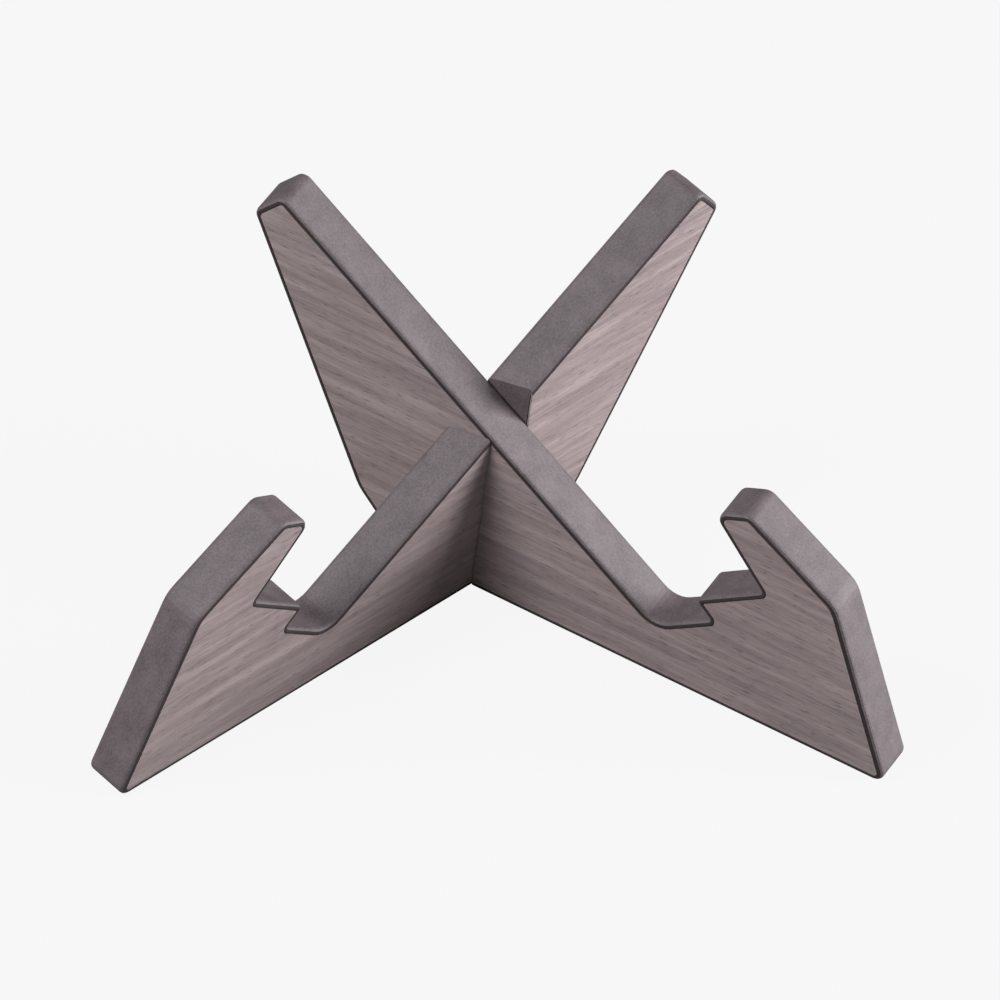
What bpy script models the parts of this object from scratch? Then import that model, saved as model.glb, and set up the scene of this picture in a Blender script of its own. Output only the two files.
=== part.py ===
"""Guitar stand: two slotted boards of one outline that cross upright and stand on the floor.

Metres, +Z up, +Y towards the back. The origin is on the floor at the crossing of the two boards.
"""

import math

import bmesh
import bpy
from mathutils import Matrix
from mathutils import Vector

# Driving dimensions of a board
BOARD_THICKNESS = 0.018
VENEER_THICKNESS = 0.0006
EDGE_ROUND = 0.0017
VENEER_INSET = 0.0022

# Clearances
GLUE_LINE = 0.0003
SLOT_SIDE_CLEARANCE = 0.0003
SLOT_END_CLEARANCE = 0.0004

# Angle between each board and the line from the back to the front of the stand
BOARD_ANGLE = math.radians(53.8)

# The outline, as reach from the crossing axis towards the foot, and height above the floor
FOOT_REACH = 0.184
HEEL_REACH = 0.0236
KNEE_REACH = 0.1525
KNEE_HEIGHT = 0.076
HOOK_FRONT_REACH = 0.1125
HOOK_FRONT_HEIGHT = 0.1015
HOOK_BACK_REACH = 0.098
HOOK_BACK_HEIGHT = 0.0945
LEDGE_FRONT_REACH = 0.1223
LEDGE_FRONT_HEIGHT = 0.0665
TOOTH_REACH = 0.0964
TOOTH_HEIGHT = 0.0475
STEP_REACH = 0.104
STEP_HEIGHT = 0.0405
VALLEY_REACH = 0.0825
VALLEY_HEIGHT = 0.025
TIP_FRONT_REACH = -0.0907
TIP_FRONT_HEIGHT = 0.149
TIP_BACK_REACH = -0.1015
TIP_BACK_HEIGHT = 0.136
BACK_BEND_REACH = -0.0452
BACK_BEND_HEIGHT = 0.0229

# Corner radii of the outline
FOOT_RADIUS = 0.004
HEEL_RADIUS = 0.003
KNEE_RADIUS = 0.012
HOOK_FRONT_RADIUS = 0.005
HOOK_BACK_RADIUS = 0.0045
LEDGE_RADIUS = 0.001
TOOTH_RADIUS = 0.0025
STEP_RADIUS = 0.001
VALLEY_RADIUS = 0.009
TIP_FRONT_RADIUS = 0.004
TIP_BACK_RADIUS = 0.0045
BACK_BEND_RADIUS = 0.018

ARC_STEP = math.radians(12.0)
ROUND_SEGMENTS = 3
SHARP_ANGLE = math.radians(60.0)
FLAT_ANGLE = math.radians(0.5)
WELD_DISTANCE = 0.00001

# Colours of the finishes, linear, with roughness
PAINT_COLOUR = (0.105, 0.085, 0.090, 1.0)
WOOD_COLOUR = (0.235, 0.195, 0.190, 1.0)
PAINT_ROUGHNESS = 0.62
WOOD_ROUGHNESS = 0.55


def corners():
    """Corners of the outline in order, each as a point and its radius."""
    return [
        (Vector((FOOT_REACH, 0.0)), FOOT_RADIUS),
        (Vector((KNEE_REACH, KNEE_HEIGHT)), KNEE_RADIUS),
        (Vector((HOOK_FRONT_REACH, HOOK_FRONT_HEIGHT)), HOOK_FRONT_RADIUS),
        (Vector((HOOK_BACK_REACH, HOOK_BACK_HEIGHT)), HOOK_BACK_RADIUS),
        (Vector((LEDGE_FRONT_REACH, LEDGE_FRONT_HEIGHT)), LEDGE_RADIUS),
        (Vector((TOOTH_REACH, TOOTH_HEIGHT)), TOOTH_RADIUS),
        (Vector((STEP_REACH, STEP_HEIGHT)), STEP_RADIUS),
        (Vector((VALLEY_REACH, VALLEY_HEIGHT)), VALLEY_RADIUS),
        (Vector((TIP_FRONT_REACH, TIP_FRONT_HEIGHT)), TIP_FRONT_RADIUS),
        (Vector((TIP_BACK_REACH, TIP_BACK_HEIGHT)), TIP_BACK_RADIUS),
        (Vector((BACK_BEND_REACH, BACK_BEND_HEIGHT)), BACK_BEND_RADIUS),
        (Vector((-HEEL_REACH, 0.0)), HEEL_RADIUS),
    ]


def turn(before, after):
    """Signed turn from one direction to the next, positive to the left."""
    return math.atan2(before.x * after.y - before.y * after.x, before.dot(after))


def inset_corners(points, inset):
    """The same corners with every side moved inwards; the outline runs anticlockwise."""
    moved = []
    count = len(points)
    for index in range(count):
        corner, radius = points[index]
        before = (corner - points[index - 1][0]).normalized()
        after = (points[(index + 1) % count][0] - corner).normalized()
        angle = turn(before, after)
        inward = Vector((-before.y, before.x))
        along = inset * math.tan(angle / 2)
        shifted = corner + inward * inset - before * along
        side = 1.0 if angle > 0 else -1.0
        moved.append((shifted, max(radius - side * inset, 0.0004)))
    return moved


def rounded(points):
    """Outline points, each corner replaced by its arc."""
    outline = []
    count = len(points)
    for index in range(count):
        corner, radius = points[index]
        before = (corner - points[index - 1][0]).normalized()
        after = (points[(index + 1) % count][0] - corner).normalized()
        angle = turn(before, after)
        side = 1.0 if angle > 0 else -1.0
        start = corner - before * radius * math.tan(abs(angle) / 2)
        centre = start + Vector((-before.y, before.x)) * side * radius
        steps = max(2, math.ceil(abs(angle) / ARC_STEP))
        arm = start - centre
        for step in range(steps + 1):
            swing = angle * step / steps
            cos, sin = math.cos(swing), math.sin(swing)
            outline.append(centre + Vector((arm.x * cos - arm.y * sin, arm.x * sin + arm.y * cos)))
    return outline


def collection(name):
    made = bpy.data.collections.new(name)
    bpy.context.scene.collection.children.link(made)
    return made


def finish(name, colour, roughness):
    """A Principled material of one colour."""
    material = bpy.data.materials.new(name)
    material.use_nodes = True
    shader = material.node_tree.nodes["Principled BSDF"]
    shader.inputs["Base Color"].default_value = colour
    shader.inputs["Roughness"].default_value = roughness
    shader.inputs["Metallic"].default_value = 0.0
    material.diffuse_color = colour
    return material


def plate(name, outline, thickness, offset, parent, group):
    """A flat plate with the given outline, its middle plane at the offset along the board's normal."""
    curve = bpy.data.curves.new(name, "CURVE")
    curve.dimensions = "2D"
    curve.fill_mode = "BOTH"
    curve.extrude = thickness / 2
    spline = curve.splines.new("POLY")
    spline.points.add(len(outline) - 1)
    for point, place in zip(spline.points, outline):
        point.co = (place.x, place.y, 0.0, 1.0)
    spline.use_cyclic_u = True
    drawn = bpy.data.objects.new(name + "_outline", curve)
    group.objects.link(drawn)
    drawn.parent = parent
    drawn.location = (0.0, 0.0, offset)
    bpy.context.view_layer.update()
    mesh = bpy.data.meshes.new_from_object(drawn.evaluated_get(bpy.context.evaluated_depsgraph_get()))
    welded = bmesh.new()
    welded.from_mesh(mesh)
    bmesh.ops.remove_doubles(welded, verts=welded.verts, dist=WELD_DISTANCE)
    bmesh.ops.dissolve_limit(welded, angle_limit=FLAT_ANGLE, verts=welded.verts, edges=welded.edges)
    bmesh.ops.recalc_face_normals(welded, faces=welded.faces)
    welded.to_mesh(mesh)
    welded.free()
    piece = bpy.data.objects.new(name, mesh)
    group.objects.link(piece)
    piece.parent = parent
    piece.matrix_world = drawn.matrix_world
    bpy.data.objects.remove(drawn)
    return piece


def as_cutter(piece):
    piece.hide_render = True
    piece.display_type = "WIRE"


def cut(piece, cutter):
    """A live difference that takes the cutter out of the piece."""
    modifier = piece.modifiers.new("cut_" + cutter.name, "BOOLEAN")
    modifier.operation = "DIFFERENCE"
    modifier.solver = "EXACT"
    modifier.object = cutter


def round_edges(piece):
    """Round the long edges between the faces and the outline."""
    modifier = piece.modifiers.new("edge_round", "BEVEL")
    modifier.width = EDGE_ROUND
    modifier.segments = ROUND_SEGMENTS
    modifier.limit_method = "ANGLE"
    modifier.angle_limit = SHARP_ANGLE
    modifier.use_clamp_overlap = False


def height_at_crossing():
    """Height of the sloping top edge over the crossing axis."""
    share = VALLEY_REACH / (VALLEY_REACH - TIP_FRONT_REACH)
    return VALLEY_HEIGHT + (TIP_FRONT_HEIGHT - VALLEY_HEIGHT) * share


def slot_cutter(name, along, bottom, top, group):
    """The space of the other board, a little wider than it is thick, between two heights."""
    bpy.ops.mesh.primitive_cube_add(size=1.0)
    cutter = bpy.context.active_object
    cutter.name = name
    for owner in list(cutter.users_collection):
        owner.objects.unlink(cutter)
    group.objects.link(cutter)
    width = BOARD_THICKNESS + 2 * SLOT_SIDE_CLEARANCE
    length = 6 * BOARD_THICKNESS
    across = Vector((-along.y, along.x, 0.0))
    turned = Matrix((along, across, Vector((0.0, 0.0, 1.0)))).transposed().to_4x4()
    sized = Matrix.Diagonal((length, width, top - bottom, 1.0))
    cutter.data.transform(sized)
    cutter.matrix_world = Matrix.Translation((0.0, 0.0, (bottom + top) / 2)) @ turned
    as_cutter(cutter)
    return cutter


def board_frame(name, along, group):
    """An empty on the crossing axis: its X runs to the foot and its Y runs up."""
    empty = bpy.data.objects.new(name, None)
    group.objects.link(empty)
    up = Vector((0.0, 0.0, 1.0))
    normal = along.cross(up)
    empty.matrix_world = Matrix((along, up, normal)).transposed().to_4x4()
    return empty


def board(name, along, front_side, slot, parts, cutters):
    """One board: a core with rounded edges, and a veneer let into each face."""
    frame = board_frame(name, along, parts)
    shape = corners()
    core = plate(name + "_core", rounded(shape), BOARD_THICKNESS, 0.0, frame, parts)
    core.data.materials.append(finish(name + "_edge_paint", PAINT_COLOUR, PAINT_ROUGHNESS))
    round_edges(core)
    recess_outline = rounded(inset_corners(shape, VENEER_INSET))
    veneer_outline = rounded(inset_corners(shape, VENEER_INSET + GLUE_LINE))
    face = BOARD_THICKNESS / 2
    recess_depth = VENEER_THICKNESS + GLUE_LINE
    for side_name, side in (("front", front_side), ("rear", -front_side)):
        recess = plate(name + "_" + side_name + "_recess", recess_outline, 2 * recess_depth,
                       side * face, frame, cutters)
        as_cutter(recess)
        cut(core, recess)
        veneer = plate(name + "_" + side_name + "_veneer", veneer_outline, VENEER_THICKNESS,
                       side * (face - VENEER_THICKNESS / 2), frame, parts)
        veneer.data.materials.append(finish(veneer.name + "_wood", WOOD_COLOUR, WOOD_ROUGHNESS))
        cut(veneer, slot)
    cut(core, slot)


def build():
    for thing in list(bpy.data.objects):
        bpy.data.objects.remove(thing)
    parts = collection("guitar_stand")
    cutters = collection("cutters")
    sin, cos = math.sin(BOARD_ANGLE), math.cos(BOARD_ANGLE)
    upper_along = Vector((sin, -cos, 0.0))
    lower_along = Vector((-sin, -cos, 0.0))
    top = height_at_crossing()
    middle = top / 2
    beyond = BOARD_THICKNESS
    upper_slot = slot_cutter("upper_board_slot", lower_along, -beyond, middle + SLOT_END_CLEARANCE / 2, cutters)
    lower_slot = slot_cutter("lower_board_slot", upper_along, middle - SLOT_END_CLEARANCE / 2,
                             top + 4 * beyond, cutters)
    board("upper_board", upper_along, 1.0, upper_slot, parts, cutters)
    board("lower_board", lower_along, -1.0, lower_slot, parts, cutters)


build()
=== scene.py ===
import math

import bpy
from mathutils import Matrix
from mathutils import Vector

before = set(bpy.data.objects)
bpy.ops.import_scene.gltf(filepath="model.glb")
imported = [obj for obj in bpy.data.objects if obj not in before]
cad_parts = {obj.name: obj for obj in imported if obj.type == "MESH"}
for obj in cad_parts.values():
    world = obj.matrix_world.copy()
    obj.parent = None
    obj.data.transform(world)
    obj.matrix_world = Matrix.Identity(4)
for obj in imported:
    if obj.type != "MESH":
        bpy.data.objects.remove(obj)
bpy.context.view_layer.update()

# The stand: two boards of one outline, cross-halved so that they slot together and stand on the floor.
# Each board leaves the front-to-back line by the same angle, and its veneer's grain runs along it.
BOARD_ANGLE = math.radians(53.8)
BOARD_TURN = {
    "upper_board": BOARD_ANGLE - math.radians(90.0),
    "lower_board": math.radians(270.0) - BOARD_ANGLE,
}
MM_IN_METRE = 1000.0


# Board cores: routed fibreboard, 18 mm thick, its edges rounded over by 1.7 mm and sprayed a matte
# grey-brown. The spray leaves a fine speckle, and a thin dark line is left where it meets the veneer.
EDGE_LIGHT = "#6C6265"
EDGE_DARK = "#50474A"
JOINT_BROWN = "#2E2628"
EDGE_ROUGHNESS = 0.62
LACQUER_IOR = 1.5
SPECKLE_MM = 0.9
MOTTLE_MM = 9.0
SPECKLE = {"Scale": MM_IN_METRE / SPECKLE_MM, "Detail": 3.0, "Roughness": 0.7}
MOTTLE = {"Scale": MM_IN_METRE / MOTTLE_MM, "Detail": 2.0, "Roughness": 0.5}
SPECKLE_SHARE = 0.62
SPRAY_SPAN = (0.36, 0.64)
SPRAY_BUMP_MM = 0.05
SPRAY_BUMP_STRENGTH = 0.8
FACE_BLEND = (0.80, 0.97)


def linear(hex_colour):
    """An sRGB hex colour as linear RGBA."""
    parts = [int(hex_colour[place:place + 2], 16) / 255 for place in (1, 3, 5)]
    return [c / 12.92 if c <= 0.04045 else ((c + 0.055) / 1.055) ** 2.4 for c in parts] + [1.0]


def add(owner, kind, settings=None, links=None):
    """One node, with its settings, and its inputs set to a value or linked to a socket."""
    tree = owner.node_tree
    node = tree.nodes.new(kind)
    for name, value in (settings or {}).items():
        setattr(node, name, value)
    for name, value in (links or {}).items():
        socket = node.inputs[name]
        if isinstance(value, bpy.types.NodeSocket):
            tree.links.new(value, socket)
        else:
            socket.default_value = value
    return node


def blank(name, roughness):
    """An empty material with a shader and its output."""
    material = bpy.data.materials.new(name)
    material.use_nodes = True
    material.node_tree.nodes.clear()
    shader = add(material, "ShaderNodeBsdfPrincipled", None, {"Roughness": roughness, "IOR": LACQUER_IOR})
    add(material, "ShaderNodeOutputMaterial", {"is_active_output": True}, {"Surface": shader.outputs["BSDF"]})
    return material, shader


def own_place(material):
    """The object's own coordinates, in metres."""
    return add(material, "ShaderNodeTexCoord").outputs["Object"]


def noise(material, place, pattern):
    """A noise pattern over the given coordinates."""
    return add(material, "ShaderNodeTexNoise", None, {"Vector": place, **pattern}).outputs["Fac"]


def mixed(material, first, share, second):
    """The first pattern by its share, and the second by the rest."""
    part = add(material, "ShaderNodeMath", {"operation": "MULTIPLY"}, {0: first, 1: share})
    return add(material, "ShaderNodeMath", {"operation": "MULTIPLY_ADD"},
               {0: second, 1: 1.0 - share, 2: part.outputs[0]}).outputs[0]


def spread(material, value, span, top=1.0):
    """A value's span stretched to run from 0 to the top."""
    return add(material, "ShaderNodeMapRange", None,
               {"Value": value, "From Min": span[0], "From Max": span[1], "To Max": top}).outputs[0]


def tint(material, share, base, over):
    """One colour over another by a share."""
    return add(material, "ShaderNodeMix", {"data_type": "RGBA"}, {0: share, 6: base, 7: over}).outputs[2]


def finish_shader(material, shader, colour, bump):
    """The colour and the relief led to the shader."""
    material.node_tree.links.new(colour, shader.inputs["Base Color"])
    material.node_tree.links.new(bump.outputs["Normal"], shader.inputs["Normal"])


def across_face(material, board):
    """How far the surface turns towards the board's flat face: 0 on the edge, 1 on the face."""
    turn = BOARD_TURN[board]
    face = Vector((math.sin(turn), -math.cos(turn), 0.0))
    normal = add(material, "ShaderNodeNewGeometry")
    dot = add(material, "ShaderNodeVectorMath", {"operation": "DOT_PRODUCT"},
              {0: normal.outputs["Normal"], 1: face})
    return add(material, "ShaderNodeMath", {"operation": "ABSOLUTE"}, {0: dot.outputs["Value"]}).outputs[0]


def sprayed_fibreboard(board):
    """Sprayed fibreboard edge: a dull two-tone speckle, dark in the line beside the veneer."""
    material, shader = blank(board + "_sprayed_fibreboard", EDGE_ROUGHNESS)
    place = own_place(material)
    speckle = noise(material, place, SPECKLE)
    mottle = noise(material, place, MOTTLE)
    tone = spread(material, mixed(material, speckle, SPECKLE_SHARE, mottle), SPRAY_SPAN)
    paint = tint(material, tone, linear(EDGE_DARK), linear(EDGE_LIGHT))
    joint_line = spread(material, across_face(material, board), FACE_BLEND)
    colour = tint(material, joint_line, paint, linear(JOINT_BROWN))
    bump = add(material, "ShaderNodeBump", None,
               {"Height": speckle, "Distance": SPRAY_BUMP_MM / MM_IN_METRE, "Strength": SPRAY_BUMP_STRENGTH})
    finish_shader(material, shader, colour, bump)
    return material


SMOOTH_UNDER = math.radians(40.0)


def dress(node, material):
    """Give a board piece its finish, and shade its faceted arcs smooth."""
    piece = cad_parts[node]
    piece.data.materials.clear()
    piece.data.materials.append(material)
    piece.data.shade_smooth()
    piece.data.set_sharp_from_angle(angle=SMOOTH_UNDER)


for board in BOARD_TURN:
    dress(board + "_core", sprayed_fibreboard(board))


# Face veneers: sliced hardwood 0.6 mm thick, stained grey-brown and lacquered satin, let in flush with
# the core. Its open pores lie as short dark streaks along the board, over slow pink and grey bands.
VENEER_LIGHT = "#AC9C9C"
VENEER_MIDDLE = "#978889"
VENEER_DARK = "#837577"
PORE_BROWN = "#4B3F40"
VENEER_ROUGHNESS = 0.5
BAND_MM = (70.0, 4.5)
FIBRE_MM = (14.0, 0.4)
PORE_MM = (6.0, 0.6)
BANDS = {"Scale": 1.0, "Detail": 4.0, "Roughness": 0.6, "Distortion": 0.35}
FIBRES = {"Scale": 1.0, "Detail": 3.0, "Roughness": 0.6}
PORES = {"Scale": 1.0, "Detail": 2.0, "Roughness": 0.55, "Distortion": 0.25}
FIBRE_SHARE = 0.4
TONE_STOPS = (0.36, 0.5, 0.64)
PORE_SPAN = (0.58, 0.70)
PORE_DEPTH_OF_TONE = 0.6
PORE_BUMP_MM = 0.06
PORE_BUMP_STRENGTH = 0.7


def along_board(material, place, board, size_mm):
    """Coordinates turned to the board, for a pattern of that length along it and that height."""
    length, height = (MM_IN_METRE / size for size in size_mm)
    turned = add(material, "ShaderNodeMapping", {"vector_type": "POINT"},
                 {"Vector": place, "Rotation": (0.0, 0.0, -BOARD_TURN[board])})
    return add(material, "ShaderNodeMapping", {"vector_type": "POINT"},
               {"Vector": turned.outputs[0], "Scale": (length, height, height)}).outputs[0]


def stained_veneer(board):
    """Stained open-pored veneer: long colour bands, fine fibres and short dark pores."""
    material, shader = blank(board + "_stained_veneer", VENEER_ROUGHNESS)
    place = own_place(material)
    bands = noise(material, along_board(material, place, board, BAND_MM), BANDS)
    fibres = noise(material, along_board(material, place, board, FIBRE_MM), FIBRES)
    pores = noise(material, along_board(material, place, board, PORE_MM), PORES)
    ramp = add(material, "ShaderNodeValToRGB", None, {"Fac": mixed(material, fibres, FIBRE_SHARE, bands)})
    stops = ramp.color_ramp.elements
    stops[0].position = TONE_STOPS[0]
    stops[0].color = linear(VENEER_DARK)
    stops[1].position = TONE_STOPS[2]
    stops[1].color = linear(VENEER_LIGHT)
    stops.new(TONE_STOPS[1]).color = linear(VENEER_MIDDLE)
    streak = spread(material, pores, PORE_SPAN, PORE_DEPTH_OF_TONE)
    colour = tint(material, streak, ramp.outputs["Color"], linear(PORE_BROWN))
    bump = add(material, "ShaderNodeBump", {"invert": True},
               {"Height": streak, "Distance": PORE_BUMP_MM / MM_IN_METRE, "Strength": PORE_BUMP_STRENGTH})
    finish_shader(material, shader, colour, bump)
    return material


for board in BOARD_TURN:
    veneer = stained_veneer(board)
    for side in ("front", "rear"):
        dress(f"{board}_{side}_veneer", veneer)


# The floor: a plain sheet under the stand. The camera sees it nearly as the white of the photograph,
# with a faint shadow, and little of its light comes back up into the corner between the boards.
FLOOR_GREY = "#808080"
FLOOR_ROUGHNESS = 0.8
FLOOR_GLOW = 0.9
FLOOR_GLOW_STRENGTH = 1.0
FLOOR_SIZE = 6.0
FLOOR_DROP = 0.0002


def pale_sheet():
    """A grey matte sheet, lifted towards white for the camera alone."""
    material, shader = blank("white_floor_sheet", FLOOR_ROUGHNESS)
    shader.inputs["Base Color"].default_value = linear(FLOOR_GREY)
    sight = add(material, "ShaderNodeLightPath")
    share = add(material, "ShaderNodeMath", {"operation": "MULTIPLY"},
                {0: sight.outputs["Is Camera Ray"], 1: FLOOR_GLOW})
    glow = add(material, "ShaderNodeEmission", None, {"Strength": FLOOR_GLOW_STRENGTH})
    lit = add(material, "ShaderNodeMixShader", None,
              {0: share.outputs[0], 1: shader.outputs["BSDF"], 2: glow.outputs[0]})
    output = material.node_tree.get_output_node("ALL")
    material.node_tree.links.new(lit.outputs[0], output.inputs["Surface"])
    return material


bpy.ops.mesh.primitive_plane_add(size=FLOOR_SIZE, location=(0.0, 0.0, -FLOOR_DROP))
floor = bpy.context.active_object
floor.name = "floor_sheet"
floor.data.materials.append(pale_sheet())

# The world: an even pale surround. It fills the shadows a little, and it looks brighter to the camera
# wherever a view passes the edge of the floor.
WORLD_FILL = 0.16
WORLD_SEEN = 1.0

world = bpy.data.worlds.new("white_surround")
world.use_nodes = True
world.node_tree.nodes.clear()
bpy.context.scene.world = world
sight = add(world, "ShaderNodeLightPath")
strength = add(world, "ShaderNodeMapRange", None,
               {"Value": sight.outputs["Is Camera Ray"], "To Min": WORLD_FILL, "To Max": WORLD_SEEN})
surround = add(world, "ShaderNodeBackground", None, {"Strength": strength.outputs[0]})
add(world, "ShaderNodeOutputWorld", None, {"Surface": surround.outputs[0]})

# Lamps: a large soft lamp from the right side lights the lower board's face, and a weaker one from the
# left the upper board's. Neither stands in front, so the corner between the boards is dimmer.
LAMPS = {
    "key_lamp": ((1.6, -0.15, 0.6), 0.9, 50.0),
    "left_lamp": ((-1.3, -0.3, 1.4), 0.9, 36.0),
}

for lamp_name, (lamp_place, lamp_size, lamp_watts) in LAMPS.items():
    lamp_data = bpy.data.lights.new(lamp_name, "AREA")
    lamp_data.size = lamp_size
    lamp_data.energy = lamp_watts
    lamp = bpy.data.objects.new(lamp_name, lamp_data)
    bpy.context.scene.collection.objects.link(lamp)
    lamp.location = lamp_place
    lamp.rotation_mode = "QUATERNION"
    lamp.rotation_quaternion = (-Vector(lamp_place)).to_track_quat("-Z", "Y")

# The camera: a long lens above the front and a little left of it, rolled a little, as fitted to the
# straight edges of the boards in the photograph. The frame is square.
CAMERA_AZIMUTH = math.radians(-12.68)
CAMERA_ELEVATION = math.radians(45.80)
CAMERA_ROLL = math.radians(8.29)
CAMERA_DISTANCE = 4.577
CAMERA_AIM_RIGHT = 0.0087
CAMERA_AIM_UP = 0.0368
CAMERA_REACH = 50.0
LENS_PIXELS = 12297.0
FRAME_PIXELS = 1000.0
SENSOR_MM = 36.0

camera_back = Vector((math.sin(CAMERA_AZIMUTH) * math.cos(CAMERA_ELEVATION),
                      -math.cos(CAMERA_AZIMUTH) * math.cos(CAMERA_ELEVATION),
                      math.sin(CAMERA_ELEVATION)))
camera_right = Vector((math.cos(CAMERA_AZIMUTH), math.sin(CAMERA_AZIMUTH), 0.0))
camera_aim = camera_right * CAMERA_AIM_RIGHT + Vector((0.0, 0.0, CAMERA_AIM_UP))
camera_data = bpy.data.cameras.new("photo_camera")
camera_data.sensor_width = SENSOR_MM
camera_data.lens = LENS_PIXELS * SENSOR_MM / FRAME_PIXELS
camera_data.clip_end = CAMERA_REACH
camera = bpy.data.objects.new("photo_camera", camera_data)
bpy.context.scene.collection.objects.link(camera)
camera.location = camera_aim + camera_back * CAMERA_DISTANCE
level_view = (-camera_back).to_track_quat("-Z", "Y").to_matrix()
camera.rotation_euler = (level_view @ Matrix.Rotation(CAMERA_ROLL, 3, "Z")).to_euler()
bpy.context.scene.camera = camera
bpy.context.scene.view_settings.view_transform = "Standard"
